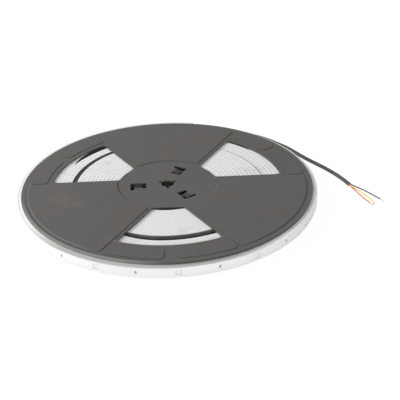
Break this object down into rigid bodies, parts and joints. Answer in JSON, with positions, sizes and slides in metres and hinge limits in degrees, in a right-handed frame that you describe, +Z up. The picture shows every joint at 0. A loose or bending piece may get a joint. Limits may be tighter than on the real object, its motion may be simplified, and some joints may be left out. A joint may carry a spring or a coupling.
{
  "type": "led strip light reel",
  "caption": "Flat plastic reel wound with white silicone led strip light, seen through flange windows, with a black lead that ends in bare cores.",
  "frame": {"origin": "on the reel's axis, in the plane of the lowest faces of the lower flange", "axes": "+Z up along the reel's axis, -Y towards the viewer of the picture, +X to the side where the lead leaves the roll"},
  "size_m": [0.3641, 0.3026, 0.0148],
  "materials": {
    "reel_plastic": "satin dark grey moulded polystyrene",
    "strip_silicone": "milky white satin silicone sleeve",
    "cap_silicone": "white satin silicone cap",
    "light_package": "white package with a pale yellow lens",
    "chip_resistor": "dark grey glazed chip",
    "lead_jacket": "satin black cable jacket",
    "core_black": "black core insulation",
    "core_yellow": "yellow core insulation",
    "core_red": "orange-red core insulation",
    "tinned_wire": "tinned copper strands"
  },
  "bodies": {
    "root": {"upper_flange": "reel_plastic", "lower_flange": "reel_plastic", "hub_core": "reel_plastic", "inner_strip_roll": "strip_silicone", "outer_strip_roll": "strip_silicone", "inner_strip_start_cap": "cap_silicone", "inner_strip_lead_cap": "cap_silicone", "outer_strip_start_cap": "cap_silicone", "outer_strip_lead_cap": "cap_silicone", "light_package_01": "light_package", "light_package_02": "light_package", "light_package_03": "light_package", "light_package_04": "light_package", "light_package_05": "light_package", "light_package_06": "light_package", "light_package_07": "light_package", "light_package_08": "light_package", "light_package_09": "light_package", "light_package_10": "light_package", "light_package_11": "light_package", "light_package_12": "light_package", "chip_resistor_01": "chip_resistor", "chip_resistor_02": "chip_resistor", "chip_resistor_03": "chip_resistor", "chip_resistor_04": "chip_resistor", "chip_resistor_05": "chip_resistor", "chip_resistor_06": "chip_resistor", "chip_resistor_07": "chip_resistor", "chip_resistor_08": "chip_resistor", "chip_resistor_09": "chip_resistor", "chip_resistor_10": "chip_resistor", "chip_resistor_11": "chip_resistor", "chip_resistor_12": "chip_resistor", "inner_lead_jacket": "lead_jacket", "outer_lead_jacket": "lead_jacket", "outer_lead_boot": "lead_jacket", "inner_core_black": "core_black", "inner_tinned_end_black": "tinned_wire", "inner_core_yellow": "core_yellow", "inner_tinned_end_yellow": "tinned_wire", "inner_core_red": "core_red", "inner_tinned_end_red": "tinned_wire", "outer_core_black": "core_black", "outer_tinned_end_black": "tinned_wire", "outer_core_yellow": "core_yellow", "outer_tinned_end_yellow": "tinned_wire", "outer_core_red": "core_red", "outer_tinned_end_red": "tinned_wire"}
  },
  "joints": []
}
